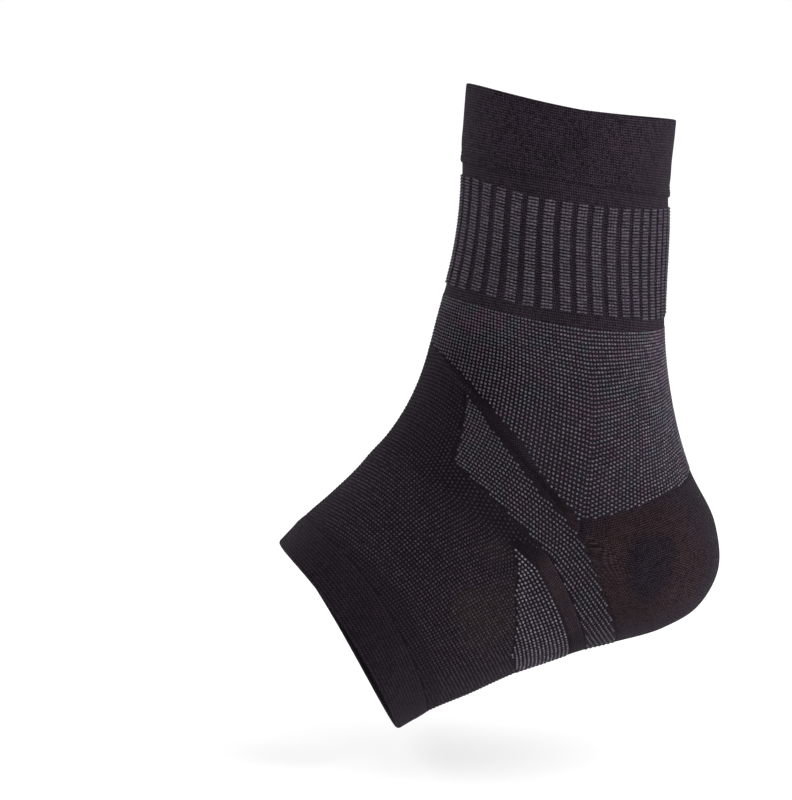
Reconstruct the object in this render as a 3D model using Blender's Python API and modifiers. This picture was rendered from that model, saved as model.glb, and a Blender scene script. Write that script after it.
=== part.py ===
"""Compression ankle sleeve for a left foot: a knitted tube, open at the leg and before the toes.

Metres. +Z runs up the leg, the toes point to -X, and the outer side of the ankle faces -Y.
The origin is the centre of the ankle, in the middle of the hollow.
"""

import math

import bmesh
import bpy
import numpy as np

# How far the worn sleeve reaches from the ankle's centre
CUFF_RISE = 0.144
SOLE_DROP = 0.088
TOE_REACH = 0.108
HEEL_REACH = 0.053
HALF_WIDTH = 0.039

# Thickness of the knit
PLAIN_WALL = 0.0012
DOTTED_WALL = 0.0015
RIB_WALL = 0.0014
CUFF_WALL = 0.0026
HEM_WALL = 0.0021

# How far each knit stands out from the plain one
DOTTED_LIFT = 0.00015
CUFF_LIFT = 0.0007
HEM_LIFT = 0.0004
RIB_RELIEF = 0.0005

# Ribs round the leg band, their flat top and each flank as shares of the pitch, and the slope at
# each end as a share of their length. They stand closer together over the calf than over the
# shin: RIB_ANGLES gives a rib's number, counted from the front, and its angle in degrees.
RIBS = 42
RIB_ANGLES = ((0, 0), (5, 53), (8, 81), (12, 115), (21, 180))
RIB_SHARE = 0.56
RIB_FLANK = 0.08
RIB_END = 0.02

TURNED_EDGE = 0.0007
SEAM_GAP = 0.0003

# One row a cross-section, from the cuff down the leg, round the heel and along the foot to the
# hem. A section is a loop hinged at the sides: front_x and front_z place its shin or instep
# point, side_x and side_z its widest points, back_x and back_z its calf or sole point. They are
# shares of the reach on their side of the ankle's centre, and width is a share of HALF_WIDTH.
# fold is 0 where the loop rounds its hinge and 1 where it creases there, and full squares its
# back half, as at the heel and sole. strap_end and side_edge are the angles from the front, in
# degrees, of the two knit edges that run along the sleeve, and rows is how many rows of cells
# lead to the section from the one above.
SECTION_COLUMNS = (
    "name", "front_x", "front_z", "side_x", "side_z", "back_x", "back_z",
    "width", "fold", "full", "strap_end", "side_edge", "rows",
)
SECTIONS = (
    ("cuff_top",   -0.360,  1.000, -0.035,  0.935,  0.665,  0.905, 0.78, 0.0, 0.00, 45,  90,  0),
    ("cuff_low",   -0.380,  0.810, -0.035,  0.765,  0.650,  0.720, 0.78, 0.0, 0.00, 45,  90,  2),
    ("rib_top",    -0.385,  0.765, -0.045,  0.720,  0.625,  0.690, 0.78, 0.0, 0.00, 45,  90,  1),
    ("rib_low",    -0.430,  0.510, -0.050,  0.450,  0.605,  0.425, 0.81, 0.0, 0.00, 45,  90,  2),
    ("dots_top",   -0.440,  0.485, -0.050,  0.420,  0.605,  0.400, 0.82, 0.0, 0.00, 45,  90,  1),
    ("ankle_mid",  -0.460,  0.430, -0.030,  0.235,  0.650,  0.230, 0.87, 0.3, 0.02, 45,  90,  4),
    ("ankle_low",  -0.485,  0.360, -0.062, -0.088,  0.796,  0.036, 0.92, 0.8, 0.05, 42,  90,  4),
    ("strap_up",   -0.494,  0.338, -0.066, -0.140,  0.248, -0.677, 0.92, 0.8, 0.06, 36,  90,  9),
    ("strap_low",  -0.584,  0.182, -0.168, -0.222,  0.025, -0.699, 0.95, 0.7, 0.06, 44,  88,  4),
    ("arch_up",    -0.639,  0.126, -0.208, -0.266, -0.048, -0.718, 0.95, 0.6, 0.06, 48,  77,  1),
    ("arch_mid",   -0.690,  0.090, -0.335, -0.285, -0.115, -0.745, 0.96, 0.4, 0.06, 55, 102,  3),
    ("arch_front", -0.735,  0.050, -0.450, -0.305, -0.220, -0.785, 0.97, 0.2, 0.06, 61, 137,  3),
    ("foot_mid",   -0.825, -0.025, -0.580, -0.360, -0.375, -0.865, 0.99, 0.0, 0.05, 57, 120,  3),
    ("hem_up",     -0.910, -0.120, -0.710, -0.405, -0.520, -0.935, 1.00, 0.0, 0.04, 50, 100,  3),
    ("hem",        -1.000, -0.235, -0.830, -0.510, -0.620, -1.000, 1.00, 0.0, 0.03, 48,  96,  2),
)

# The sections that fan round the heel between ankle_low and strap_up, by their back point. Their
# other values go from the one to the other in even steps.
HEEL_COLUMNS = ("back_x", "back_z")
HEEL_ROUND = (
    (0.990, -0.185),
    (1.015, -0.375),
    (0.850, -0.550),
    (0.630, -0.630),
)

# Columns of cells from the front to the strap's end, to the side edge and to the back
STRAP_COLUMN = 5
SIDE_COLUMN = 10
HALF_COLUMNS = 20
COLUMNS = 2 * HALF_COLUMNS
RIB_COLUMNS = 4 * RIBS

BLACK_KNIT = (0.022, 0.017, 0.022, 1.0)
GREY_KNIT = (0.050, 0.045, 0.052, 1.0)


def section_lines():
    """The table in metres: a front, a side and a back line, and the values that go with them."""
    rows = [dict(zip(SECTION_COLUMNS, row)) for row in SECTIONS]
    top = next(i for i, row in enumerate(rows) if row["name"] == "ankle_low")
    upper, lower = rows[top], rows[top + 1]
    fan = []
    for step, back in enumerate(HEEL_ROUND, start=1):
        part = step / (len(HEEL_ROUND) + 1)
        row = {
            key: upper[key] + part * (lower[key] - upper[key])
            for key in SECTION_COLUMNS[1:]
        }
        row.update(zip(HEEL_COLUMNS, back), name="heel_%d" % step)
        fan.append(row)
    rows[top + 1 : top + 1] = fan

    def place(row, point):
        x, z = row[point + "_x"], row[point + "_z"]
        return (
            x * (HEEL_REACH if x > 0 else TOE_REACH),
            z * (CUFF_RISE if z > 0 else SOLE_DROP),
        )

    lines = {
        "front": np.array([place(row, "front") for row in rows]),
        "side": np.array([place(row, "side") + (row["width"] * HALF_WIDTH,) for row in rows]),
        "back": np.array([place(row, "back") for row in rows]),
    }
    for key in ("fold", "full", "strap_end", "side_edge"):
        lines[key] = np.array([row[key] for row in rows])
    return lines, {row["name"]: i for i, row in enumerate(rows)}


LINES, STATION = section_lines()


def smooth_line(points, at):
    """Points at the stations `at` of a smooth line through the given ones, spaced by its length."""
    ends = np.vstack([2 * points[0] - points[1], points, 2 * points[-1] - points[-2]])
    span = np.linalg.norm(np.diff(ends, axis=0), axis=1)
    first = np.clip(np.floor(at).astype(int), 0, len(points) - 2)
    part = (at - first)[:, None]
    before, start, finish, after = (ends[first + i] for i in range(4))
    into, along, out = (span[first + i][:, None] for i in range(3))
    leave = finish - start + along * ((start - before) / into - (finish - before) / (into + along))
    arrive = finish - start + along * ((after - finish) / out - (after - start) / (along + out))
    return (
        start
        + leave * part
        + (3 * (finish - start) - 2 * leave - arrive) * part**2
        + (2 * (start - finish) + leave + arrive) * part**3
    )


def value_at(key, at):
    """A value of the section table at the stations `at`."""
    return np.interp(at, np.arange(len(LINES[key])), LINES[key])


def skin(at, angle):
    """The sleeve's outer surface at stations `at` and at angles from the front by the outer side."""
    front = smooth_line(LINES["front"], at)[:, None]
    side = smooth_line(LINES["side"], at)[:, None]
    back = smooth_line(LINES["back"], at)[:, None]
    fold, full = value_at("fold", at)[:, None], value_at("full", at)[:, None]
    ahead = np.cos(angle)
    bend = (1 - fold) * ahead**2 + fold * np.abs(ahead)
    flat = (
        side[..., :2]
        + ahead[..., None] * (front - back) / 2
        + bend[..., None] * ((front + back) / 2 - side[..., :2])
    )
    full = np.where(ahead < 0, full, 0)
    across = (np.sin(angle) + full * np.sin(3 * angle)) / (1 - full)
    return np.stack([flat[..., 0], -side[..., 2] * across, flat[..., 1]], axis=-1)


def outward(points):
    """Unit normals of a closed band of points, rows running down it and columns round it."""
    down = np.gradient(points, axis=0)
    round_it = np.roll(points, -1, axis=1) - np.roll(points, 1, axis=1)
    normal = np.cross(down, round_it)
    return normal / np.linalg.norm(normal, axis=-1, keepdims=True)


def cage_rows():
    """Stations of the cage's rows, and the row on which each named section lies."""
    above = SECTIONS[0][0]
    at, row_of = [STATION[above]], {above: 0}
    for section in SECTIONS[1:]:
        below, rows = section[0], section[-1]
        at.extend(np.linspace(STATION[above], STATION[below], rows + 1)[1:])
        row_of[below] = len(at) - 1
        above = below
    return np.array(at, float), row_of


def column_angles(at):
    """Angles of the cage's columns on each row, which follow the strap's end and the side edge."""
    fixed = (0, STRAP_COLUMN, SIDE_COLUMN, HALF_COLUMNS)
    rows = []
    for ends in zip(value_at("strap_end", at), value_at("side_edge", at)):
        half = np.interp(np.arange(HALF_COLUMNS + 1), fixed, (0, *ends, 180))
        rows.append(np.concatenate([half, 360 - half[-2:0:-1]]))
    return np.radians(rows)


def rib_angles(numbers):
    """Angles of places round the band that are counted in ribs from the front."""
    turn = numbers % RIBS
    half = np.interp(np.minimum(turn, RIBS - turn), *zip(*RIB_ANGLES))
    return np.radians(np.where(turn > RIBS / 2, 360 - half, half))


def rib_cage():
    """Points of the ribbed band: four columns to a rib, and ribs that end short of the plain strips."""
    top, low = STATION["rib_top"], STATION["rib_low"]
    slope = RIB_END * (low - top)
    at = np.array([STATION["cuff_low"], top, top + slope, low - slope, low, STATION["dots_top"]])
    shoulder, foot = RIB_SHARE / 2, RIB_SHARE / 2 + RIB_FLANK
    corners = np.arange(RIBS)[:, None] + np.array([-foot, -shoulder, shoulder, foot])
    points = skin(at, np.broadcast_to(rib_angles(corners.ravel()), (len(at), RIB_COLUMNS)))
    raised_row = (at > top) & (at < low)
    raised_column = np.tile([False, True, True, False], RIBS)
    relief = RIB_RELIEF * (raised_row[:, None] & raised_column[None, :])
    return points + outward(points) * relief[..., None]


def cells(rows, columns):
    """The cells of the cage from one row to another and from one column to another."""
    return [(row, column) for row in range(*rows) for column in range(*columns)]


def knit_material(name, colour):
    material = bpy.data.materials.new(name)
    material.use_nodes = True
    shader = material.node_tree.nodes["Principled BSDF"]
    shader.inputs["Base Color"].default_value = colour
    shader.inputs["Roughness"].default_value = 0.9
    shader.inputs["Metallic"].default_value = 0.0
    material.diffuse_color = colour
    return material


def knit_piece(name, points, own_cells, wall, lift, colour, turned=False):
    """One knit of the sleeve: its own cells of the cage, trimmed by half a gap and thickened inwards."""
    normals = outward(points)
    columns = points.shape[1]
    body = bmesh.new()
    direction = body.verts.layers.float_vector.new("outward")
    made = {}

    def corner(row, column):
        key = (row, column % columns)
        if key not in made:
            made[key] = body.verts.new(points[key] + normals[key] * lift)
            made[key][direction] = normals[key]
        return made[key]

    for row, column in own_cells:
        body.faces.new(
            (
                corner(row, column),
                corner(row + 1, column),
                corner(row + 1, column + 1),
                corner(row, column + 1),
            )
        )
    body.normal_update()
    trimmed = bmesh.ops.inset_region(
        body,
        faces=body.faces[:],
        thickness=SEAM_GAP / 2,
        use_boundary=True,
        use_even_offset=True,
    )
    bmesh.ops.delete(body, geom=trimmed["faces"], context="FACES")
    inner = bmesh.ops.extrude_face_region(body, geom=body.faces[:], use_keep_orig=True)
    for vert in (item for item in inner["geom"] if isinstance(item, bmesh.types.BMVert)):
        vert.co -= vert[direction] * wall
    bmesh.ops.recalc_face_normals(body, faces=body.faces[:])
    mesh = bpy.data.meshes.new(name)
    body.to_mesh(mesh)
    body.free()
    mesh.shade_smooth()
    mesh.set_sharp_from_angle(angle=math.radians(50))
    mesh.materials.append(knit_material(name + "_knit", colour))

    piece = bpy.data.objects.new(name, mesh)
    sleeve.objects.link(piece)
    if turned:
        edge = piece.modifiers.new("Turned edge", "BEVEL")
        edge.width = TURNED_EDGE
        edge.segments = 1
        edge.limit_method = "ANGLE"
        edge.angle_limit = math.radians(60)
    return piece


for old in list(bpy.data.objects):
    bpy.data.objects.remove(old)
sleeve = bpy.data.collections.new("compression_ankle_sleeve")
bpy.context.scene.collection.children.link(sleeve)

AT, ROW = cage_rows()
CAGE = skin(AT, column_angles(AT))
ALL_ROUND = (0, COLUMNS)
FROM_SIDE = (SIDE_COLUMN, COLUMNS - SIDE_COLUMN)
FROM_STRAP = (STRAP_COLUMN, COLUMNS - STRAP_COLUMN)
BEFORE_SIDE = (-SIDE_COLUMN, SIDE_COLUMN)
BEFORE_STRAP = (-STRAP_COLUMN, STRAP_COLUMN)


def between(first, last, columns):
    return cells((ROW[first], ROW[last]), columns)


knit_piece(
    "top_cuff", CAGE, between("cuff_top", "cuff_low", ALL_ROUND),
    CUFF_WALL, CUFF_LIFT, BLACK_KNIT, turned=True,
)
RIB_CAGE = rib_cage()
knit_piece(
    "rib_band", RIB_CAGE, cells((0, len(RIB_CAGE) - 1), (0, RIB_COLUMNS)),
    RIB_WALL, 0.0, GREY_KNIT,
)
knit_piece(
    "ankle_panel", CAGE, between("dots_top", "ankle_low", ALL_ROUND),
    DOTTED_WALL, DOTTED_LIFT, GREY_KNIT,
)
knit_piece(
    "heel_cup", CAGE, between("ankle_low", "strap_up", FROM_SIDE),
    PLAIN_WALL, 0.0, BLACK_KNIT,
)
knit_piece(
    "stirrup_strap", CAGE, between("strap_up", "strap_low", FROM_STRAP),
    DOTTED_WALL, DOTTED_LIFT, GREY_KNIT,
)
knit_piece(
    "arch_panel", CAGE, between("arch_up", "arch_front", FROM_SIDE),
    DOTTED_WALL, DOTTED_LIFT, GREY_KNIT,
)
FOOT_CELLS = (
    between("ankle_low", "strap_up", BEFORE_SIDE)
    + between("strap_up", "strap_low", BEFORE_STRAP)
    + between("strap_low", "arch_up", ALL_ROUND)
    + between("arch_up", "arch_front", BEFORE_SIDE)
    + between("arch_front", "hem_up", ALL_ROUND)
)
knit_piece("foot_body", CAGE, FOOT_CELLS, PLAIN_WALL, 0.0, BLACK_KNIT)
knit_piece(
    "foot_hem", CAGE, between("hem_up", "hem", ALL_ROUND),
    HEM_WALL, HEM_LIFT, BLACK_KNIT, turned=True,
)
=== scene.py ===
"""Compression ankle sleeve in its worn shape: knitted cloth, raised stitches and turned edges."""

import math

import bmesh
import bpy
import numpy as np
from mathutils import Matrix, Vector


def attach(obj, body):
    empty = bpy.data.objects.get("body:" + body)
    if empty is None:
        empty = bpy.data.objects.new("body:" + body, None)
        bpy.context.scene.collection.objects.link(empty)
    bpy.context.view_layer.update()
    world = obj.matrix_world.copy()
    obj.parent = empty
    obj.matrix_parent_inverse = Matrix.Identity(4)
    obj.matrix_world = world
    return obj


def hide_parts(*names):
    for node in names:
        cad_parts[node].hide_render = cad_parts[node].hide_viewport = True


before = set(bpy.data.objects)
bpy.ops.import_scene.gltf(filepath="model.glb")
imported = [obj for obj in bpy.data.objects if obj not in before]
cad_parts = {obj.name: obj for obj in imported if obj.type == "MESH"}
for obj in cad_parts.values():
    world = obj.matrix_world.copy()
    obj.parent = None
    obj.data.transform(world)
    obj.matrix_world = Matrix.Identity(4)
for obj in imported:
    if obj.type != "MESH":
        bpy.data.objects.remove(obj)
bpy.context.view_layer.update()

MM = 0.001

# How far the worn sleeve reaches from the origin, in metres
CUFF_RISE = 0.144
SOLE_DROP = 0.088
TOE_REACH = 0.108
HEEL_REACH = 0.053
HALF_WIDTH = 0.039

PLAIN_WALL = 1.2 * MM
DOTTED_WALL = 1.5 * MM
RIB_WALL = 1.4 * MM

# How far the cloth's own U runs from the front to the back, in the knits above the heel cup's
# upper edge and below it, in metres
UPPER_GIRTH = 0.105
LOWER_GIRTH = 0.125

# The sleeve's cross-sections from the cuff to the hem: the front, side and back points and the
# width as shares of the reaches above, the crease at the side, the fullness of the back, and the
# angles in degrees of the two knit edges that run along the sleeve
SECTION_COLUMNS = (
    "name", "front_x", "front_z", "side_x", "side_z", "back_x", "back_z",
    "width", "fold", "full", "strap_end", "side_edge",
)
SECTIONS = (
    ("cuff_top",   -0.369,  1.003, -0.035,  0.942,  0.665,  0.911, 0.78, 0.0, 0.00, 45,  90),
    ("cuff_low",   -0.385,  0.810, -0.035,  0.765,  0.622,  0.720, 0.78, 0.0, 0.00, 45,  90),
    ("rib_top",    -0.385,  0.765, -0.045,  0.720,  0.625,  0.690, 0.78, 0.0, 0.00, 45,  90),
    ("rib_low",    -0.437,  0.510, -0.050,  0.450,  0.605,  0.425, 0.81, 0.0, 0.00, 45,  90),
    ("dots_top",   -0.447,  0.485, -0.050,  0.420,  0.605,  0.400, 0.82, 0.0, 0.00, 45,  90),
    ("ankle_mid",  -0.468,  0.430, -0.030,  0.235,  0.650,  0.230, 0.87, 0.3, 0.02, 45,  90),
    ("ankle_low",  -0.492,  0.360, -0.062, -0.088,  0.796,  0.036, 0.92, 0.8, 0.05, 42,  90),
    ("heel_1",      None,   None,   None,   None,   0.990, -0.185, None, None, None, None, None),
    ("heel_2",      None,   None,   None,   None,   1.015, -0.375, None, None, None, None, None),
    ("heel_3",      None,   None,   None,   None,   0.850, -0.543, None, None, None, None, None),
    ("heel_4",      None,   None,   None,   None,   0.622, -0.618, None, None, None, None, None),
    ("strap_up",   -0.500,  0.338, -0.066, -0.140,  0.248, -0.674, 0.92, 0.8, 0.06, 36,  90),
    ("strap_low",  -0.590,  0.182, -0.168, -0.222,  0.025, -0.699, 0.95, 0.7, 0.06, 44,  88),
    ("arch_up",    -0.645,  0.126, -0.208, -0.266, -0.048, -0.718, 0.95, 0.6, 0.06, 48,  77),
    ("arch_mid",   -0.690,  0.090, -0.335, -0.285, -0.115, -0.745, 0.96, 0.4, 0.06, 55, 102),
    ("arch_front", -0.735,  0.050, -0.450, -0.305, -0.220, -0.785, 0.97, 0.2, 0.06, 61, 137),
    ("foot_mid",   -0.825, -0.025, -0.580, -0.360, -0.375, -0.865, 0.99, 0.0, 0.05, 57, 120),
    ("hem_up",     -0.910, -0.120, -0.710, -0.405, -0.520, -0.935, 1.00, 0.0, 0.04, 50, 100),
    ("hem",        -1.000, -0.235, -0.830, -0.510, -0.620, -1.000, 1.00, 0.0, 0.03, 48,  96),
)
STATION = {section[0]: row for row, section in enumerate(SECTIONS)}
LAST_STATION = len(SECTIONS) - 1

# The ribs of the rib band. RIB_ANGLES pairs a rib's number, counted from the front, with its angle
# in degrees. The share, the flank's width and how far the flank reaches past the rib's edge are
# parts of a rib's spacing, and RIB_END is the length of its rounded end in stations.
RIBS = 42
RIB_ANGLES = ((0, 0), (5, 53), (8, 81), (12, 115), (21, 180))
RIB_SHARE = 0.60
RIB_FLANK = 0.16
RIB_FOOT = 0.12
RIB_END = 0.05
RIB_RELIEF = 0.5 * MM

# Columns of the cloth, counted round from the front at 0. Past the back they run on up the other
# side, to the front again at twice the back's number.
STRAP_COLUMN = 5
SIDE_COLUMN = 10
BACK_COLUMN = 20
ALL_ROUND = (-BACK_COLUMN, BACK_COLUMN)
BEFORE_SIDES = (-SIDE_COLUMN, SIDE_COLUMN)
BEFORE_STRAP = (-STRAP_COLUMN, STRAP_COLUMN)
BEHIND_SIDES = (SIDE_COLUMN, 2 * BACK_COLUMN - SIDE_COLUMN)
BEHIND_STRAP = (STRAP_COLUMN, 2 * BACK_COLUMN - STRAP_COLUMN)


def column_values(name):
    """One column of the table, with the heel's gaps filled in even steps."""
    values = [section[SECTION_COLUMNS.index(name)] for section in SECTIONS]
    known = [row for row, value in enumerate(values) if value is not None]
    return np.interp(np.arange(len(values)), known, [values[row] for row in known])


def point_line(name):
    """The front, side or back points of the sections, in metres."""
    x, z = column_values(name + "_x"), column_values(name + "_z")
    return np.stack(
        [x * np.where(x > 0, HEEL_REACH, TOE_REACH), z * np.where(z > 0, CUFF_RISE, SOLE_DROP)], 1
    )


FRONT_LINE = point_line("front")
SIDE_LINE = np.column_stack([point_line("side"), column_values("width") * HALF_WIDTH])
BACK_LINE = point_line("back")


def smooth_line(points, at):
    """Points at the stations `at` of a smooth line through the given ones."""
    ends = np.vstack([2 * points[0] - points[1], points, 2 * points[-1] - points[-2]])
    span = np.linalg.norm(np.diff(ends, axis=0), axis=1)
    first = np.clip(np.floor(at).astype(int), 0, len(points) - 2)
    part = (at - first)[:, None]
    before, start, finish, after = (ends[first + i] for i in range(4))
    into, along, out = (span[first + i][:, None] for i in range(3))
    leave = finish - start + along * ((start - before) / into - (finish - before) / (into + along))
    arrive = finish - start + along * ((after - finish) / out - (after - start) / (along + out))
    return (
        start
        + leave * part
        + (3 * (finish - start) - 2 * leave - arrive) * part**2
        + (2 * (start - finish) + leave + arrive) * part**3
    )


def value_at(name, at):
    """A column's value at stations, which may lie between sections."""
    return np.interp(at, np.arange(len(SECTIONS)), column_values(name))


def surface(at, angle):
    """Points of the sleeve's outer surface at stations and angles, one for one.

    A station is a section's row number, with parts of it between rows. Angles run from the front
    by the outer side to the back."""
    front, side, back = (smooth_line(line, at) for line in (FRONT_LINE, SIDE_LINE, BACK_LINE))
    ahead = np.cos(angle)
    fold = value_at("fold", at)
    bend = (1 - fold) * ahead**2 + fold * np.abs(ahead)
    flat = (
        side[:, :2]
        + ahead[:, None] * (front - back) / 2
        + bend[:, None] * ((front + back) / 2 - side[:, :2])
    )
    full = np.where(ahead < 0, value_at("full", at), 0)
    across = (np.sin(angle) + full * np.sin(3 * angle)) / (1 - full)
    return np.column_stack([flat[:, 0], -side[:, 2] * across, flat[:, 1]])


def unit(vectors):
    """The vectors, each made one long."""
    return vectors / np.linalg.norm(vectors, axis=1, keepdims=True)


def facing(at, angle):
    """Unit vectors down the sleeve, round it and out of it at stations and angles."""
    step, turn = 0.02, math.radians(0.5)
    inside = np.clip(at, step, LAST_STATION - step)
    down = surface(inside + step, angle) - surface(inside - step, angle)
    across = unit(surface(at, angle + turn) - surface(at, angle - turn))
    out = unit(np.cross(down, across))
    return np.cross(across, out), across, out


def sewn(at, angle, lift):
    """Points that stand `lift` proud of the sleeve's outer surface."""
    return surface(at, angle) + facing(at, angle)[2] * np.broadcast_to(lift, at.shape)[:, None]


# Lengths on the surface, kept in two tables: down every wale from the cuff, and round every
# course from the front as a share of half the girth
STEPS_TO_A_SECTION = 20
TABLE_AT = np.linspace(0, LAST_STATION, STEPS_TO_A_SECTION * LAST_STATION + 1)
TABLE_TURN = np.radians(np.arange(-180, 181, 2.0))


def length_tables():
    """Both tables, worked out on the outer surface."""
    at, turn = np.meshgrid(TABLE_AT, TABLE_TURN, indexing="ij")
    points = surface(at.ravel(), turn.ravel()).reshape(*at.shape, 3)
    down = np.linalg.norm(np.diff(points, axis=0), axis=2)
    down = np.vstack([np.zeros((1, down.shape[1])), np.cumsum(down, axis=0)])
    round_it = np.linalg.norm(np.diff(points, axis=1), axis=2)
    round_it = np.hstack([np.zeros((len(round_it), 1)), np.cumsum(round_it, axis=1)])
    middle = round_it[:, len(TABLE_TURN) // 2][:, None]
    return down, (round_it - middle) / middle


DOWN_LENGTH, ROUND_SHARE = length_tables()


def read_table(table, at, angle):
    """A table's values at stations and angles, which may lie between its own."""
    row = np.interp(at, TABLE_AT, np.arange(len(TABLE_AT)))
    column = np.interp(angle, TABLE_TURN, np.arange(len(TABLE_TURN)))
    top = np.minimum(row.astype(int), table.shape[0] - 2)
    left = np.minimum(column.astype(int), table.shape[1] - 2)
    row, column = row - top, column - left
    return (
        table[top, left] * (1 - row) * (1 - column)
        + table[top + 1, left] * row * (1 - column)
        + table[top, left + 1] * (1 - row) * column
        + table[top + 1, left + 1] * row * column
    )


def depth_to(name, angle):
    """Lengths down the surface from the cuff's top to a named section, at angles."""
    return read_table(DOWN_LENGTH, np.full(len(angle), float(STATION[name])), angle)


def column_angle(at, column):
    """Angle of a column of the cloth at stations, from the back round by the front to the back."""
    turn = np.abs(column)
    strap, side = value_at("strap_end", at), value_at("side_edge", at)
    to_strap = turn / STRAP_COLUMN * strap
    to_side = strap + (turn - STRAP_COLUMN) / (SIDE_COLUMN - STRAP_COLUMN) * (side - strap)
    to_back = side + (turn - SIDE_COLUMN) / (BACK_COLUMN - SIDE_COLUMN) * (180 - side)
    angle = np.where(turn < STRAP_COLUMN, to_strap, np.where(turn < SIDE_COLUMN, to_side, to_back))
    return np.radians(np.copysign(angle, column))


def new_piece(name, mesh, finishes, replaced=None):
    """A finished piece that rides on the sleeve, and may stand for a CAD node."""
    piece = bpy.data.objects.new(name, mesh)
    bpy.context.scene.collection.objects.link(piece)
    for finish in finishes:
        mesh.materials.append(finish)
    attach(piece, "root")
    if replaced:
        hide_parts(replaced)
    return piece


def lay_cloth(name, patches, place):
    """Flat grids of knit, wrapped onto the sleeve and welded along their seams.

    `patches` gives each grid's corners and its cells round and down. `place` turns a grid's own
    coordinates, 0 to 1, into points and cloth coordinates."""
    shape = bmesh.new()
    for layer, (_, cells) in enumerate(patches):
        bmesh.ops.create_grid(
            shape, x_segments=cells[0], y_segments=cells[1], size=0.5,
            matrix=Matrix.Translation((0.5, 0.5, layer)),
        )
    bmesh.ops.reverse_faces(shape, faces=shape.faces[:])
    mesh = bpy.data.meshes.new(name)
    shape.to_mesh(mesh)
    flat = np.empty(len(mesh.vertices) * 3)
    mesh.vertices.foreach_get("co", flat)
    flat = flat.reshape(-1, 3)
    points, cloth = np.empty_like(flat), np.empty((len(flat), 2))
    for layer, (corners, _) in enumerate(patches):
        own = np.round(flat[:, 2]) == layer
        points[own], cloth[own] = place(corners, flat[own, 0], flat[own, 1])
    corner_of = np.empty(len(mesh.loops), int)
    mesh.loops.foreach_get("vertex_index", corner_of)
    mesh.uv_layers.new(name="UVMap").data.foreach_set("uv", cloth[corner_of].ravel())
    mesh.vertices.foreach_set("co", points.ravel())
    shape.clear()
    shape.from_mesh(mesh)
    bmesh.ops.remove_doubles(shape, verts=shape.verts[:], dist=1e-6)
    shape.to_mesh(mesh)
    shape.free()
    mesh.shade_smooth()
    return mesh


def flush(at, angle):
    """No lift: the cloth lies on the sleeve's outer surface."""
    return np.zeros(len(at))


def on_sleeve(start, girth, lift):
    """How a panel lies: its corners are stations and columns, and its V runs down from `start`."""

    def place(corners, across, down):
        first, last, left, right = corners
        at = STATION[first] + down * (STATION[last] - STATION[first])
        column = left + across * (right - left)
        beyond = column > BACK_COLUMN
        angle = column_angle(at, np.where(beyond, column - 2 * BACK_COLUMN, column))
        share = read_table(ROUND_SHARE, at, angle) + 2 * beyond
        length = read_table(DOWN_LENGTH, at, angle) - depth_to(start, angle)
        return sewn(at, angle, lift(at, angle)), np.column_stack([share * girth, length])

    return place


def line_inside(piece, wall):
    """The cloth's wall, laid to the inside, with the knit's reverse on its inner face."""
    inside = piece.modifiers.new("Wall", "SOLIDIFY")
    inside.thickness = wall
    inside.offset = -1
    inside.use_even_offset = False
    inside.material_offset = 1
    return piece


def rib_start(turn):
    """Station at which the ribs begin, a little higher at the front and the back."""
    return STATION["rib_top"] - np.interp(turn, [20, 60, 110, 150], [0.34, 0.0, 0.0, 0.22])


def rib_lift(at, angle):
    """How far the ribbed band's ground rises into each rib, with soft flanks and ends."""
    turn = np.abs(np.degrees(angle))
    number = np.interp(turn, *zip(*[(a, n) for n, a in RIB_ANGLES]))
    aside = np.abs(number - np.round(number))
    flank = np.clip((RIB_SHARE / 2 + RIB_FOOT - aside) / RIB_FLANK, 0, 1)
    from_end = np.minimum(at - rib_start(turn), STATION["rib_low"] - at)
    end = np.clip(from_end / RIB_END + 0.6, 0, 1)
    rise = flank * end
    return RIB_RELIEF * rise * rise * (3 - 2 * rise)


def turned_edge(free, joined, girth, profile, height):
    """How a doubled edge lies: `profile` runs round its section, as shares of its height from the
    free edge, millimetres added to that, and millimetres proud of the sleeve."""
    knots = np.array(profile, float) * (height / MM, 1, 1)

    def place(corners, across, down):
        left, right = corners
        column = left + across * (right - left)
        angle = column_angle(np.full(len(across), float(STATION[joined])), column)
        share, offset, lift = smooth_line(knots, down * (len(knots) - 1)).T
        share /= height / MM
        part = share + offset * MM / np.abs(depth_to(joined, angle) - depth_to(free, angle))
        at = STATION[free] + part * (STATION[joined] - STATION[free])
        round_share = read_table(ROUND_SHARE, at, angle)
        return sewn(at, angle, lift * MM), np.column_stack([round_share * girth, part * height])

    return place


def add(tree, kind, *values, **settings):
    """A shader node: a socket among its values is linked, a plain value is set and None is left."""
    made = tree.nodes.new("ShaderNode" + kind)
    for key, value in settings.items():
        setattr(made, key, value)
    for socket, value in zip(made.inputs, values):
        if isinstance(value, bpy.types.NodeSocket):
            tree.links.new(value, socket)
        elif value is not None:
            socket.default_value = value
    return made.outputs[0]


def maths(tree, operation, *values):
    """A sum of one operation on its values."""
    return add(tree, "Math", *values, operation=operation)


def blend(tree, share, one, other, kind="MIX"):
    """One colour going over into another, or with "MULTIPLY" into the product of both."""
    mixer = tree.nodes.new("ShaderNodeMix")
    mixer.data_type = "RGBA"
    mixer.blend_type = kind
    sockets = (mixer.inputs[0], mixer.inputs[6], mixer.inputs[7])
    for socket, value in zip(sockets, (share, one, other)):
        if isinstance(value, bpy.types.NodeSocket):
            tree.links.new(value, socket)
        else:
            socket.default_value = value
    return mixer.outputs[2]


def spread(tree, value, low, high, to_low=0.0, to_high=1.0):
    """A value spread softly from one range to another, and held within it."""
    return add(tree, "MapRange", value, low, high, to_low, to_high, interpolation_type="SMOOTHSTEP")


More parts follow.
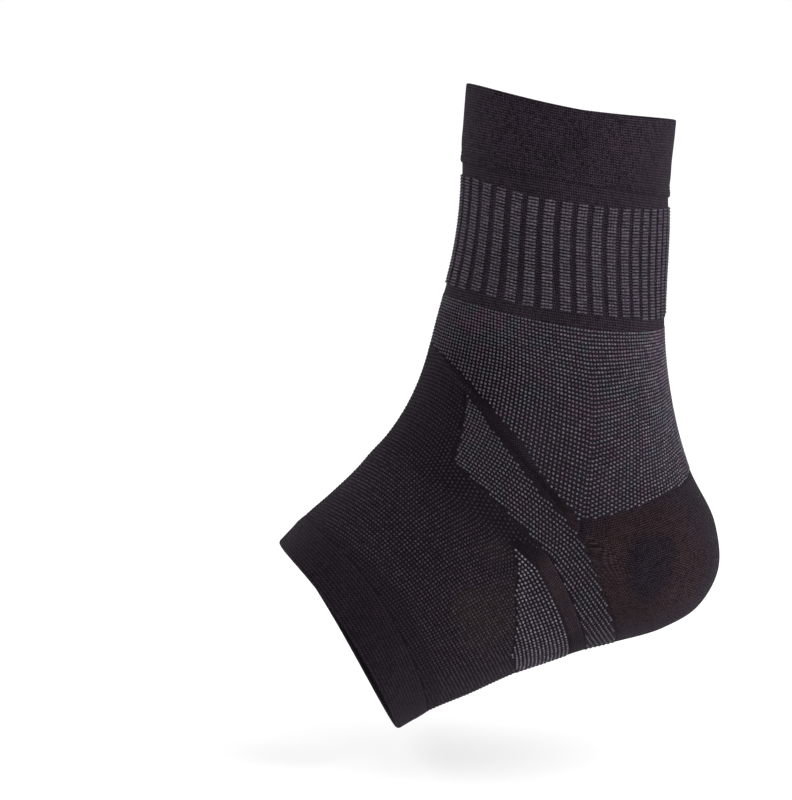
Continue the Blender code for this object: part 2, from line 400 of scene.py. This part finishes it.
def cloth_coordinates(tree, wale, course):
    """The cloth's own coordinates, counted in wales and courses."""
    place = tree.nodes.new("ShaderNodeUVMap")
    place.uv_map = "UVMap"
    parts = tree.nodes.new("ShaderNodeSeparateXYZ")
    tree.links.new(place.outputs[0], parts.inputs[0])
    return (
        maths(tree, "DIVIDE", parts.outputs[0], wale),
        maths(tree, "DIVIDE", parts.outputs[1], course),
    )


def own_tone(tree, across, down):
    """A chance value for each stitch."""
    cell = add(tree, "CombineXYZ", maths(tree, "FLOOR", across), maths(tree, "FLOOR", down))
    return add(tree, "TexWhiteNoise", cell)


def plain_stitches(tree, wale, course):
    """Height and chance tone of plain knitting: every wale is a column of small slanting V's."""
    across, down = cloth_coordinates(tree, wale, course)
    aside = maths(tree, "ABSOLUTE", maths(tree, "SUBTRACT", maths(tree, "FRACT", across), 0.5))
    leg = maths(tree, "SINE", maths(tree, "MULTIPLY", aside, math.tau))
    slant = maths(tree, "SUBTRACT", down, maths(tree, "MULTIPLY", aside, 1.3))
    row = maths(tree, "SINE", maths(tree, "MULTIPLY", slant, math.tau))
    height = maths(tree, "MULTIPLY", leg, maths(tree, "MULTIPLY_ADD", row, 0.5, 0.5))
    return height, own_tone(tree, maths(tree, "MULTIPLY", across, 2.0), slant)


# How far the edge of a patch wanders, in metres; patches tint the colour, and on the ankle and the
# heel they paint shade and reflection
PATCH_WANDER = 0.016


def round_patch(tree, centre, inner, outer):
    """1 within `inner` of a place seen from the side, and 0 beyond `outer`, with an uneven edge."""
    place = tree.nodes.new("ShaderNodeTexCoord").outputs["Object"]
    flat = add(tree, "VectorMath", place, (1, 0, 1), operation="MULTIPLY")
    away = tree.nodes.new("ShaderNodeVectorMath")
    away.operation = "DISTANCE"
    tree.links.new(flat, away.inputs[0])
    away.inputs[1].default_value = (centre[0], 0, centre[1])
    drift = add(tree, "TexNoise", place, None, 60.0, 2.0, 0.5)
    reach = maths(tree, "MULTIPLY_ADD", drift, PATCH_WANDER, away.outputs["Value"])
    return spread(tree, reach, outer + PATCH_WANDER / 2, inner + PATCH_WANDER / 2)


def set_inputs(node, values):
    """Constants on a node's inputs, by their names."""
    for name, value in values.items():
        node.inputs[name].default_value = value


def new_finish(name, values):
    """A material with constants on its shader, its node tree and its shader."""
    finish = bpy.data.materials.new(name)
    finish.use_nodes = True
    shader = finish.node_tree.nodes["Principled BSDF"]
    set_inputs(shader, values)
    return finish, finish.node_tree, shader


def add_relief(tree, shader, height, strength, distance):
    """A bump of the given height, in metres at full strength."""
    bump = tree.nodes.new("ShaderNodeBump")
    set_inputs(bump, {"Strength": strength, "Distance": distance})
    tree.links.new(height, bump.inputs["Height"])
    tree.links.new(bump.outputs[0], shader.inputs["Normal"])


def knit_finish(name, dark, light, wale, course, patches=(), fuzz=0.25, relief=0.25, own=0.9):
    """Plain knitting: its stitches' relief and shade, uneven dye, a fine fuzz and a soft sheen.

    `wale` and `course` are a stitch's width and height, and `relief` how deep it is, in millimetres.
    `own` is how much the stitches differ in tone. A patch has its centre as x and z, the distances
    within which it is full and beyond which it ends, its tint and its strength; patches tint the
    colour, and some of them paint shade and reflection."""
    finish, tree, shader = new_finish(name, {
        "Specular IOR Level": 0.04, "Sheen Weight": 0.045, "Sheen Roughness": 0.4,
        "Sheen Tint": (0.85, 0.65, 0.90, 1),
    })
    place = tree.nodes.new("ShaderNodeTexCoord").outputs["Object"]
    fibres = add(tree, "TexNoise", place, None, 2600.0, 2.0, 0.6)
    dye = add(tree, "TexNoise", place, None, 55.0, 3.0, 0.55)
    height, chance = plain_stitches(tree, wale * MM, course * MM)
    lit = maths(tree, "MULTIPLY", height, maths(tree, "MULTIPLY_ADD", chance, own, 1 - own / 2))
    shade = maths(tree, "MULTIPLY_ADD", spread(tree, fibres, 0.3, 0.7, -0.5, 0.5), fuzz, lit)
    colour = blend(tree, shade, (*dark, 1), (*light, 1))
    # Each patch multiplies its tint into the colour: painted shade on the ankle, the cloth's own
    # colour and painted reflection on the heel
    for centre, inner, outer, tint, strength in patches:
        covered = maths(tree, "MULTIPLY", round_patch(tree, centre, inner, outer), strength)
        colour = blend(tree, covered, colour, (*tint, 1), "MULTIPLY")
    uneven = spread(tree, dye, 0.3, 0.7, 0.86, 1.14)
    tone = tree.nodes.new("ShaderNodeHueSaturation")
    tree.links.new(uneven, tone.inputs["Value"])
    tree.links.new(colour, tone.inputs["Color"])
    tree.links.new(tone.outputs[0], shader.inputs["Base Color"])
    rough = maths(tree, "MULTIPLY_ADD", fibres, 0.2, 0.75)
    tree.links.new(rough, shader.inputs["Roughness"])
    add_relief(tree, shader, shade, 1.0, relief * MM)
    return finish


def stitch_finish(name, dark, light, cool, warm):
    """Yarn of the raised stitches: each takes its own tone, which on the ankle, strap and foot
    stitches also carries painted shade, with cooler and warmer areas of the given strengths."""
    finish, tree, shader = new_finish(name, {
        "Roughness": 0.75, "Specular IOR Level": 0.10, "Sheen Weight": 0.04, "Sheen Roughness": 0.4,
    })
    place = tree.nodes.new("ShaderNodeTexCoord").outputs["Object"]
    fibres = add(tree, "TexNoise", place, None, 5200.0, 2.0, 0.6)
    own = tree.nodes.new("ShaderNodeAttribute")
    own.attribute_name = "tone"
    uneven = spread(tree, fibres, 0.3, 0.7, -0.5, 0.5)
    shade = maths(tree, "MULTIPLY_ADD", uneven, 0.35, own.outputs["Fac"])
    colour = blend(tree, shade, (*dark, 1), (*light, 1))
    red, green, blue = ((a + b) / 2 for a, b in zip(dark, light))
    for strength, scale, tint in (
        (cool, 150.0, (red * 0.60, green * 1.12, blue * 1.00)),
        (warm, 190.0, (red * 1.20, green * 0.70, blue * 0.98)),
    ):
        areas = spread(tree, add(tree, "TexNoise", place, None, scale, 2.0, 0.5), 0.50, 0.64)
        colour = blend(tree, maths(tree, "MULTIPLY", areas, strength), colour, (*tint, 1))
    tree.links.new(colour, shader.inputs["Base Color"])
    add_relief(tree, shader, fibres, 0.5, 0.05 * MM)
    return finish


def half_girth(at):
    """Length round the sleeve's surface at a station, from the front to the back."""
    points = surface(np.full(len(TABLE_TURN), float(at)), TABLE_TURN)
    return np.linalg.norm(np.diff(points, axis=0), axis=1).sum() / 2


# How many points a wale's and a rib's lengths are read at
WALE_POINTS = 160
RIB_POINTS = 60


def courses(
    edge, stop, wale_pitch, course_pitch,
    crowding=((0, 1), (180, 1)), growth=0.0, slant=0.0, drift=0.0,
):
    """Stations and angles of the stitches of a panel. Courses run along its edge and follow one
    another to the section where it stops. `crowding` gives the pitch's share at angles in degrees,
    `growth` is how much wider apart courses end than they start, `slant` how far they leave the
    edge on their way round, and `drift` how far the side's wales lean towards the back."""
    edge, stop = float(STATION[edge]), float(STATION[stop])
    wales = round(half_girth(edge) / wale_pitch)
    line = np.linspace(edge, stop, WALE_POINTS)
    shares = (np.arange(2 * wales) + 0.5) / wales - 1
    edge_shares = read_table(ROUND_SHARE, np.full(len(TABLE_TURN), edge), TABLE_TURN)
    turns = np.interp(shares, edge_shares, TABLE_TURN)
    at, angle = [], []
    for share, turn in zip(shares, turns):
        length = read_table(DOWN_LENGTH, line, np.full(len(line), turn))
        depth = np.abs(length - length[0])
        step = course_pitch * np.interp(abs(math.degrees(turn)), *zip(*crowding))
        first = (0.5 + slant * abs(share) * wales * wale_pitch / step) % 1
        places = (np.arange(depth[-1] // step + 2) + first) * step
        places *= 1 + growth * places / depth[-1]
        places = places[(places > 0.3 * step) & (places < depth[-1] - 0.3 * step)]
        at.append(np.interp(places, depth, line))
        leaning = abs(turn) + drift * math.sin(abs(turn)) * places * math.pi / (wales * wale_pitch)
        angle.append(np.copysign(np.clip(leaning, 0, math.pi), turn))
    return np.concatenate(at), np.concatenate(angle)


def raise_stitches(
    name, at, angle, across, along, proud, seed,
    tone=(0, 1), lift=0.0, lean=0.0, ball=False,
):
    """Small rounded stitches, one for each place, as one mesh.

    `across`, `along` and `proud` are a stitch's half sizes round the sleeve, down it and out of it.
    `tone` gives the least and most of its own tone, painted shade included where a caller ramps it,
    `lift` how high its middle stands and `lean` its turn. A `ball` is a plainer, rounder stitch."""
    shape = bmesh.new()
    if ball:
        bmesh.ops.create_icosphere(shape, subdivisions=1, radius=1)
    else:
        bmesh.ops.create_uvsphere(shape, u_segments=6, v_segments=3, radius=1)
    bmesh.ops.triangulate(shape, faces=shape.faces[:])
    bmesh.ops.recalc_face_normals(shape, faces=shape.faces[:])
    shape.verts.index_update()
    corners = np.array([vert.co for vert in shape.verts])
    faces = np.array([[vert.index for vert in face.verts] for face in shape.faces])
    shape.free()
    count = len(at)
    chance = np.random.default_rng(seed)
    own = chance.uniform(0, 1, count) * (tone[1] - tone[0]) + tone[0]
    uneven = chance.uniform(0.88, 1.12, (3, count))
    shift = chance.uniform(-0.07, 0.07, (2, count)) * MM
    tilt = lean + chance.uniform(-0.2, 0.2, count)
    down, round_it, out = facing(at, angle)
    centre = surface(at, angle) + out * np.broadcast_to(lift, count)[:, None]
    centre += round_it * shift[0][:, None] + down * shift[1][:, None]
    turned = round_it * np.cos(tilt)[:, None] + down * np.sin(tilt)[:, None]
    upright = down * np.cos(tilt)[:, None] - round_it * np.sin(tilt)[:, None]
    points = centre[:, None]
    axes, sizes = (turned, upright, out), (across, along, proud)
    for axis, size, vary, corner in zip(axes, sizes, uneven, corners.T):
        reach = np.broadcast_to(size, count) * vary
        points = points + corner[None, :, None] * (reach[:, None] * axis)[:, None]
    # The three axes are left-handed, so the faces are turned over to look outwards
    faces = faces[:, ::-1]
    mesh = bpy.data.meshes.new(name)
    mesh.vertices.add(count * len(corners))
    mesh.vertices.foreach_set("co", points.ravel())
    every = (faces[None] + np.arange(count)[:, None, None] * len(corners)).ravel()
    mesh.loops.add(len(every))
    mesh.loops.foreach_set("vertex_index", every)
    mesh.polygons.add(len(every) // 3)
    mesh.polygons.foreach_set("loop_start", np.arange(0, len(every), 3))
    mesh.update(calc_edges=True)
    mesh.shade_smooth()
    tones = mesh.attributes.new("tone", "FLOAT", "POINT").data
    tones.foreach_set("value", np.repeat(own, len(corners)))
    return mesh


# The middle of the heel's side, as x and z, round which the heel's own colour and painted reflection
# lie
HEEL_SIDE = (0.020, -0.026)

FOOT_BLACK = knit_finish(
    "foot_black_knit", (0.0024, 0.0015, 0.0026), (0.0172, 0.0118, 0.0180), 1.54, 0.65,
    patches=(
        ((-0.041, -0.040), 0.009, 0.017, (1.85, 1.95, 1.15), 1.0),
        ((-0.038, -0.017), 0.002, 0.009, (1.75, 1.85, 1.15), 0.9),
        ((-0.012, -0.034), 0.010, 0.023, (2.90, 2.90, 2.35), 1.0),
        ((-0.005, -0.010), 0.003, 0.014, (2.40, 2.10, 1.50), 0.9),
    ),
)
HEEL_BLACK = knit_finish(
    "heel_black_knit", (0.0020, 0.0012, 0.0022), (0.0350, 0.0251, 0.0365), 1.06, 0.90,
    relief=0.22, own=1.1,
    # The two patches paint a brown ring and a darker purple middle on the heel's side: partly the
    # stretched cloth's own colour, partly painted reflection
    patches=(
        (HEEL_SIDE, 0.016, 0.032, (1.42, 1.22, 0.92), 1.0),
        (HEEL_SIDE, 0.008, 0.015, (0.62, 0.70, 0.98), 1.0),
    ),
)
GROUND_BLACK = knit_finish(
    "ground_black_knit", (0.0040, 0.0027, 0.0044), (0.0200, 0.0145, 0.0212), 1.40, 0.90,
)
ANKLE_BLACK = knit_finish(
    "ankle_black_knit", (0.0052, 0.0036, 0.0057), (0.0275, 0.0200, 0.0290), 1.40, 0.90,
    # The patch paints shade over the front of the ankle, darkest about the crease above the instep,
    # on the side away from the light
    patches=(((-0.050, 0.045), 0.010, 0.045, (0.40, 0.40, 0.42), 1.0),),
)
STRIP_BLACK = knit_finish(
    "strip_black_knit", (0.0025, 0.0016, 0.0027), (0.0530, 0.0375, 0.0550), 1.20, 0.95,
    relief=0.3,
)
CUFF_BLACK = knit_finish(
    "cuff_black_knit", (0.0010, 0.0006, 0.0012), (0.0540, 0.0373, 0.0562), 1.34, 0.94,
    relief=0.3, fuzz=0.45, own=1.2,
)
HEM_BLACK = knit_finish(
    "hem_black_knit", (0.0025, 0.0015, 0.0027), (0.0270, 0.0180, 0.0285), 1.20, 0.95,
    fuzz=0.3,
)
REVERSE = knit_finish(
    "reverse_of_the_knit", (0.0100, 0.0080, 0.0105), (0.0450, 0.0390, 0.0460), 1.40, 1.10,
    relief=0.3,
)
RIB_GREY = stitch_finish(
    "rib_grey_stitches", (0.029, 0.024, 0.033), (0.108, 0.089, 0.115), cool=0.25, warm=0.2,
)
ANKLE_GREY = stitch_finish(
    "ankle_grey_stitches", (0.038, 0.031, 0.042), (0.124, 0.106, 0.133), cool=0.45, warm=0.45,
)
STRAP_GREY = stitch_finish(
    "strap_grey_stitches", (0.038, 0.032, 0.041), (0.096, 0.082, 0.100), cool=0.4, warm=0.35,
)
ARCH_GREY = stitch_finish(
    "arch_grey_stitches", (0.060, 0.051, 0.068), (0.148, 0.131, 0.160), cool=0.1, warm=0.1,
)
FOOT_YARN = stitch_finish(
    "foot_black_yarn", (0.0120, 0.0081, 0.0127), (0.0430, 0.0307, 0.0447), cool=0.0, warm=0.2,
)
LINK_BLACK = stitch_finish(
    "linking_black_yarn", (0.008, 0.006, 0.009), (0.026, 0.019, 0.028), cool=0.0, warm=0.0,
)

# The turned edges' outlines, as closed rings of the knots that turned_edge takes
CUFF_SECTION = (
    (1.0, 0.0, -1.90), (0.5, 0.0, -1.90), (0.0, 2.0, -1.90), (0.0, 0.8, -1.85), (0.0, 0.15, -1.45),
    (0.0, -0.30, -0.80), (0.0, -0.40, -0.15), (0.0, -0.25, 0.22), (0.0, 0.5, 0.38), (0.0, 2.2, 0.42),
    (0.5, 0.0, 0.45), (1.0, -4.6, 0.45), (1.0, -3.6, 0.38), (1.0, -2.6, 0.62), (1.0, -1.4, 0.72),
    (1.0, -0.5, 0.60), (1.0, 0.0, 0.10), (1.0, 0.0, -0.90), (1.0, 0.0, -1.90),
)
HEM_SECTION = (
    (1.0, 0.0, -1.70), (1.0, 0.0, -0.80), (1.0, 0.0, 0.00), (1.0, -1.2, 0.30), (1.0, -2.4, 0.42),
    (0.5, 0.0, 0.40), (0.0, 2.0, 0.42), (0.0, 1.0, 0.40), (0.0, 0.3, 0.05), (0.0, 0.0, -0.65),
    (0.0, 0.3, -1.35), (0.0, 1.0, -1.70), (0.0, 2.0, -1.70), (0.5, 0.0, -1.70), (1.0, 0.0, -1.70),
)
CUFF_HEIGHT = 27 * MM
HEM_HEIGHT = 12.5 * MM
CELLS_TO_A_COLUMN = 4
CELLS_TO_A_RIB = 8
CELLS_TO_A_KNOT = 4


def patch(first, last, columns, cells_down):
    """A grid of cloth between two sections and two columns."""
    left, right = columns
    return (first, last, left, right), (CELLS_TO_A_COLUMN * (right - left), cells_down)


def make_band(name, free, joined, girth, section, height):
    """The cloth of a turned edge, right round the sleeve."""
    cells = (CELLS_TO_A_COLUMN * 2 * BACK_COLUMN, CELLS_TO_A_KNOT * (len(section) - 1))
    return lay_cloth(name, [(ALL_ROUND, cells)], turned_edge(free, joined, girth, section, height))


cuff = new_piece(
    "cuff_cloth",
    make_band("cuff_cloth", "cuff_top", "cuff_low", UPPER_GIRTH, CUFF_SECTION, CUFF_HEIGHT),
    [CUFF_BLACK], "top_cuff",
)
hem = new_piece(
    "hem_cloth",
    make_band("hem_cloth", "hem", "hem_up", LOWER_GIRTH, HEM_SECTION, HEM_HEIGHT),
    [HEM_BLACK], "foot_hem",
)

for name, node, slot, start, girth, wall, finish, lift, patches in (
    (
        "rib_cloth", "rib_band", "rib_knit", "cuff_low", UPPER_GIRTH, RIB_WALL, STRIP_BLACK, rib_lift,
        [(("cuff_low", "dots_top", *ALL_ROUND), (CELLS_TO_A_RIB * RIBS, 48))],
    ),
    (
        "ankle_cloth", "ankle_panel", "ankle_knit", "dots_top", UPPER_GIRTH, DOTTED_WALL,
        ANKLE_BLACK, flush,
        [patch("dots_top", "ankle_low", ALL_ROUND, 44)],
    ),
    (
        "heel_cloth", "heel_cup", "heel_knit", "ankle_low", LOWER_GIRTH, PLAIN_WALL,
        HEEL_BLACK, flush,
        [patch("ankle_low", "strap_up", BEHIND_SIDES, 60)],
    ),
    (
        "strap_cloth", "stirrup_strap", "strap_knit", "strap_up", LOWER_GIRTH, DOTTED_WALL,
        GROUND_BLACK, flush,
        [patch("strap_up", "strap_low", BEHIND_STRAP, 16)],
    ),
    (
        "arch_cloth", "arch_panel", "arch_knit", "arch_up", LOWER_GIRTH, DOTTED_WALL,
        GROUND_BLACK, flush,
        [patch("arch_up", "arch_front", BEHIND_SIDES, 28)],
    ),
    (
        "foot_cloth", "foot_body", "foot_knit", "hem_up", LOWER_GIRTH, PLAIN_WALL,
        FOOT_BLACK, flush,
        [
            patch("ankle_low", "strap_up", BEFORE_SIDES, 10),
            patch("strap_up", "strap_low", BEFORE_STRAP, 14),
            patch("strap_low", "arch_up", ALL_ROUND, 4),
            patch("arch_up", "arch_front", BEFORE_SIDES, 22),
            patch("arch_front", "hem_up", ALL_ROUND, 40),
        ],
    ),
):
    mesh = lay_cloth(name, patches, on_sleeve(start, girth, lift))
    line_inside(new_piece(name, mesh, [finish, REVERSE], node), wall)


def within(at, angle, edge, beyond=0.0):
    """Which places lie behind an edge that runs along the sleeve, by `beyond` degrees or more."""
    return np.degrees(np.abs(angle)) > value_at(edge, at) + beyond


at, angle = courses(
    "dots_top", "ankle_low", 1.25 * MM, 1.44 * MM, growth=0.08,
    crowding=((0, 0.72), (50, 0.77), (75, 0.93), (92, 1.02), (120, 0.84), (150, 0.75), (180, 0.73)),
)
turn = np.degrees(np.abs(angle))
# Above the strap the stitches stop short of the panel's lower edge, which widens the plain strip
keep = at < STATION["ankle_low"] - np.interp(turn, [10, 34, 62, 76], [0.0, 0.12, 0.14, 0.0])
at, angle, turn = at[keep], angle[keep], turn[keep]
# The stitches' tone is painted darker towards the front, as painted shade on the side away from the
# light
tone_and_painted_shade = np.interp(turn, [30, 60, 90, 130], [0.30, 0.70, 0.85, 1.15])
ankle_stitches = new_piece(
    "ankle_stitches",
    raise_stitches(
        "ankle_stitches", at, angle, 0.58 * MM, 0.44 * MM, 0.26 * MM, 1,
        tone=(0.05 * tone_and_painted_shade, tone_and_painted_shade), lean=0.1,
    ),
    [ANKLE_GREY],
)

at, angle = courses(
    "strap_low", "strap_up", 1.32 * MM, 1.48 * MM, slant=0.25,
    crowding=((0, 0.70), (45, 0.74), (80, 1.0), (120, 1.1), (180, 1.15)),
)
turn = np.degrees(np.abs(angle))
keep = within(at, angle, "strap_end", 0.5)
# The strap's stitches leave its upper edge plain too
plain_edge = np.interp(turn, [40, 50, 67, 75, 90], [0.0, 0.07, 0.15, 0.15, 0.0])
keep &= at > STATION["strap_up"] + plain_edge
at, angle, turn = at[keep], angle[keep], turn[keep]
# The stitches' tone is painted darker towards the strap's front end, as painted shade on the side
# away from the light
tone_and_painted_shade = np.interp(turn, [50, 80], [0.6, 1.1])
strap_stitches = new_piece(
    "strap_stitches",
    raise_stitches(
        "strap_stitches", at, angle, 0.60 * MM, 0.42 * MM, 0.28 * MM, 2, tone=(0.05 * tone_and_painted_shade, tone_and_painted_shade),
    ),
    [STRAP_GREY],
)

at, angle = courses("arch_up", "arch_front", 1.56 * MM, 1.50 * MM, drift=0.3)
keep = within(at, angle, "side_edge", 0.7)
arch_stitches = new_piece(
    "arch_stitches",
    raise_stitches("arch_stitches", at[keep], angle[keep], 0.62 * MM, 0.44 * MM, 0.30 * MM, 3),
    [ARCH_GREY],
)


def on_foot_body(at, angle):
    """Which places lie on the dotted part of the foot body, outside its plain strips."""
    behind_strap = (at < STATION["arch_up"]) & within(at, angle, "strap_end", -1.5)
    behind_side = (at < STATION["arch_front"] + 0.04) & within(at, angle, "side_edge", -1.0)
    low = (at > STATION["strap_low"] + 0.1) & ~behind_side
    return low | (~behind_strap & ~behind_side)


at, angle = courses("hem_up", "ankle_low", 1.20 * MM, 1.31 * MM, slant=0.12, drift=-0.16)
keep = on_foot_body(at, angle)
at, angle = at[keep], angle[keep]
turn = np.degrees(np.abs(angle))
# The stitches fade towards the ankle panel, as painted shade on the instep, and towards the hem,
# soonest at the side
plain_edge = np.interp(turn, [0, 45, 90, 135, 180], [0.05, 0.25, 0.45, 0.30, 0.15])
tone_and_painted_shade = np.interp(at, [STATION["strap_up"], STATION["arch_front"]], [0.15, 1.0])
hem_start = STATION["hem_up"]
tone_and_painted_shade *= np.interp(
    at + plain_edge, [STATION["foot_mid"], hem_start - 0.1, hem_start], [1.0, 0.7, 0.1]
)
foot_stitches = new_piece(
    "foot_stitches",
    raise_stitches(
        "foot_stitches", at, angle, 0.50 * MM, 0.42 * MM, 0.22 * MM, 6,
        tone=(0.1 * tone_and_painted_shade, tone_and_painted_shade), ball=True,
    ),
    [FOOT_YARN],
)


def rib_places(pitch, to_a_rib):
    """Stations and angles of the stitches that stand in rungs across each rib, and how long a
    degree round the sleeve is there."""
    low = float(STATION["rib_low"])
    one_degree = np.radians([0, 1])
    at, angle, degree = [], [], []
    for rib in range(RIBS):
        for place in range(to_a_rib):
            aside = RIB_SHARE * ((place + 0.5) / to_a_rib - 0.5)
            number = (rib + aside) % RIBS
            turn = np.interp(min(number, RIBS - number), *zip(*RIB_ANGLES))
            line = np.linspace(rib_start(turn), low, RIB_POINTS)
            turn = math.radians(turn if number <= RIBS / 2 else -turn)
            length = read_table(DOWN_LENGTH, line, np.full(len(line), turn))
            length -= length[0]
            places = np.arange(0.5, length[-1] / pitch - 0.3) * pitch
            at.append(np.interp(places, length, line))
            angle.append(np.full(len(places), turn))
            ends = surface(np.full(2, line[RIB_POINTS // 2]), turn + one_degree)
            degree.append(np.full(len(places), np.linalg.norm(ends[1] - ends[0])))
    return np.concatenate(at), np.concatenate(angle), np.concatenate(degree)


STITCHES_TO_A_RIB = 3
RUNG_FULLNESS = 0.68
at, angle, degree = rib_places(1.13 * MM, STITCHES_TO_A_RIB)
# Degrees from one rib to the next, at the angles of RIB_ANGLES
spacing = np.interp(
    np.degrees(np.abs(angle)), [turn for _, turn in RIB_ANGLES], [10.6, 9.9, 8.9, 7.6, 7.2]
)
half_width = degree * spacing * RIB_SHARE / STITCHES_TO_A_RIB * RUNG_FULLNESS
rib_stitches = new_piece(
    "rib_stitches",
    raise_stitches(
        "rib_stitches", at, angle, half_width, 0.37 * MM, 0.30 * MM, 4,
        tone=(0.2, 0.8), lift=rib_lift(at, angle), ball=True,
    ),
    [RIB_GREY],
)

# The row of linking that holds the turned cuff down, a little above its lower edge
LINKS = 180
LINKS_ABOVE_EDGE = 3.6 * MM
link_turns = np.linspace(-math.pi, math.pi, LINKS + 1)[:-1]
link_at = np.full(LINKS, STATION["cuff_low"] - LINKS_ABOVE_EDGE / CUFF_HEIGHT)
cuff_linking = new_piece(
    "cuff_linking",
    raise_stitches(
        "cuff_linking", link_at, link_turns, 0.62 * MM, 0.28 * MM, 0.24 * MM, 5,
        lift=0.42 * MM, ball=True,
    ),
    [LINK_BLACK],
)

# The studio: a pale floor, an even white room, two soft lights and the camera
bpy.context.scene.view_settings.view_transform = "Standard"
bpy.context.scene.view_settings.look = "None"

FLOOR_LEVEL = -0.102
FLOOR_REACH = 60.0
plane = bmesh.new()
bmesh.ops.create_grid(
    plane, x_segments=2, y_segments=2, size=FLOOR_REACH,
    matrix=Matrix.Translation((0, 0, FLOOR_LEVEL)),
)
floor_mesh = bpy.data.meshes.new("pale_floor")
plane.to_mesh(floor_mesh)
plane.free()
floor = bpy.data.objects.new("pale_floor", floor_mesh)
bpy.context.scene.collection.objects.link(floor)
floor_mesh.materials.append(new_finish("pale_floor_paint", {
    "Base Color": (0.93, 0.93, 0.93, 1), "Roughness": 0.9, "Specular IOR Level": 0.1,
    "Emission Color": (1, 1, 1, 1), "Emission Strength": 0.14,
})[0])

room = bpy.data.worlds.new("studio_room")
room.use_nodes = True
set_inputs(room.node_tree.nodes["Background"], {"Color": (1, 1, 1, 1), "Strength": 1.0})
bpy.context.scene.world = room

SLEEVE_MIDDLE = Vector((-0.02, 0, 0.03))


def soft_box(name, place, size, power):
    """A square soft light that faces the sleeve."""
    light = bpy.data.lights.new(name, "AREA")
    light.shape = "SQUARE"
    light.size = size
    light.energy = power
    lamp = bpy.data.objects.new(name, light)
    bpy.context.scene.collection.objects.link(lamp)
    lamp.location = place
    lamp.rotation_euler = (Vector(place) - SLEEVE_MIDDLE).to_track_quat("Z", "Y").to_euler()


soft_box("key_light", (1.6, -1.0, 0.7), 0.9, 28)
soft_box("fill_light", (-1.1, -1.2, 0.8), 1.0, 4)

# The camera stands a metre from the origin, a little above it and towards the hem, and looks past
# it so that the sleeve falls where the photograph has it. Lengths in the picture are in pixels,
# and the sensor is in millimetres.
AZIMUTH, ELEVATION = math.radians(-14), math.radians(10)
FOCAL_LENGTH = 2732
PICTURE_SIDE = 800
ORIGIN_RIGHT_OF_MIDDLE = 179
ORIGIN_BELOW_MIDDLE = 80
SENSOR_WIDTH = 36
back = Vector((
    math.sin(AZIMUTH) * math.cos(ELEVATION),
    -math.cos(AZIMUTH) * math.cos(ELEVATION),
    math.sin(ELEVATION),
))
right = Vector((math.cos(AZIMUTH), math.sin(AZIMUTH), 0))
up = back.cross(right)
lens = bpy.data.cameras.new("camera")
lens.lens = SENSOR_WIDTH * FOCAL_LENGTH / PICTURE_SIDE
lens.clip_start, lens.clip_end = 0.05, 200
camera = bpy.data.objects.new("camera", lens)
bpy.context.scene.collection.objects.link(camera)
camera.location = back
aim = (up * ORIGIN_BELOW_MIDDLE - right * ORIGIN_RIGHT_OF_MIDDLE) / FOCAL_LENGTH
camera.rotation_euler = (back - aim).to_track_quat("Z", "Y").to_euler()
bpy.context.scene.camera = camera
